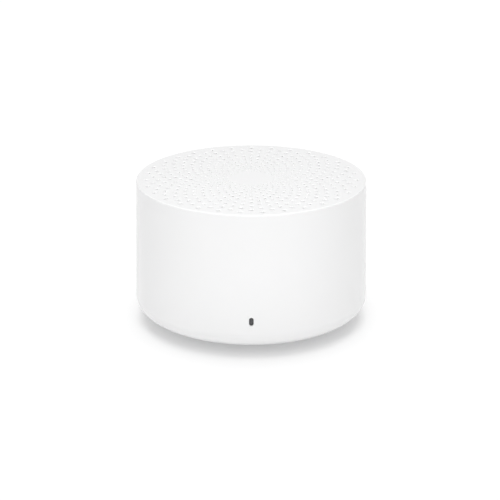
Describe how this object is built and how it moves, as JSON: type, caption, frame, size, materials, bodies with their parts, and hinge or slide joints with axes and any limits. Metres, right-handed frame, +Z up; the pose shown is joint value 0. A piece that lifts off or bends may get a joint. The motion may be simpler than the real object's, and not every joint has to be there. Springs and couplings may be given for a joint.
{
  "type": "smart speaker",
  "caption": "Palm-sized round wireless speaker: white cup with a perforated top over an upward-facing driver, rechargeable cell, rear charging port, power button underneath.",
  "frame": {"origin": "centre of the round footprint, on the floor under the foot ring", "axes": "+Z up; -Y is the front with the status window; +Y is the rear with the charging port; +X is to the right seen from the front"},
  "size_m": [0.0504, 0.0504, 0.0316],
  "materials": {
    "white_plastic": "satin moulded",
    "base_plastic": "fine matt texture",
    "button_plastic": "satin",
    "grille_cloth": "woven acoustic cloth",
    "smoked_lens": "smoked, glossy",
    "foot_silicone": "matt",
    "black_plastic": "fine texture",
    "foam": "open-cell foam",
    "zinc_screw": "zinc plated",
    "basket_steel": "black coated",
    "motor_steel": "zinc plated",
    "magnet_nickel": "nickel plated",
    "kapton": "amber film",
    "coil_copper": "enamelled wire",
    "spider_cloth": "impregnated cloth",
    "cone_paper": "pressed paper",
    "surround_rubber": "satin",
    "board_green": "solder mask",
    "lead_red": "wire insulation",
    "lead_black": "wire insulation",
    "cell_foil": "pouch foil",
    "port_steel": "tin plated",
    "chip_epoxy": "moulded epoxy",
    "ferrite": "sintered",
    "ceramic": "ceramic",
    "header_nylon": "nylon",
    "lamp_epoxy": "diffusing"
  },
  "bodies": {
    "housing": {"outer_shell": "white_plastic", "acoustic_mesh": "grille_cloth", "status_lens": "smoked_lens", "base_cover": "base_plastic", "foot_pad": "foot_silicone", "speaker_cup": "black_plastic", "cup_gasket": "foam", "cup_screws": "zinc_screw", "driver_basket": "basket_steel", "driver_yoke": "motor_steel", "driver_magnet": "magnet_nickel", "pole_plate": "motor_steel", "driver_spider": "spider_cloth", "driver_surround": "surround_rubber", "terminal_board": "board_green", "speaker_leads": "lead_red", "battery_cell": "cell_foil", "battery_board": "board_green", "battery_pad": "foam", "battery_leads": "lead_black", "circuit_board": "board_green", "board_screws": "zinc_screw", "usb_shell": "port_steel", "usb_tongue": "black_plastic", "bluetooth_chip": "chip_epoxy", "amplifier_chip": "chip_epoxy", "charger_chip": "chip_epoxy", "power_inductors": "ferrite", "chip_capacitors": "ceramic", "clock_crystal": "port_steel", "battery_header": "header_nylon", "speaker_header": "header_nylon", "tact_switch": "port_steel", "status_led": "lamp_epoxy"},
    "button": {"power_button": "button_plastic", "switch_plunger": "black_plastic"},
    "moving_cone": {"driver_cone": "cone_paper", "dust_cap": "cone_paper", "coil_former": "kapton", "voice_coil": "coil_copper"}
  },
  "joints": [
    {"name": "power_button_press", "type": "slide", "parent": "housing", "child": "button", "axis": [0, 0, 1], "range_m": [0, 0.00025], "stiffness_N_per_m": 3000},
    {"name": "cone_travel", "type": "slide", "parent": "housing", "child": "moving_cone", "axis": [0, 0, 1], "range_m": [-0.0004, 0.0004], "stiffness_N_per_m": 1500, "deforming": ["driver_surround", "driver_spider"]}
  ]
}
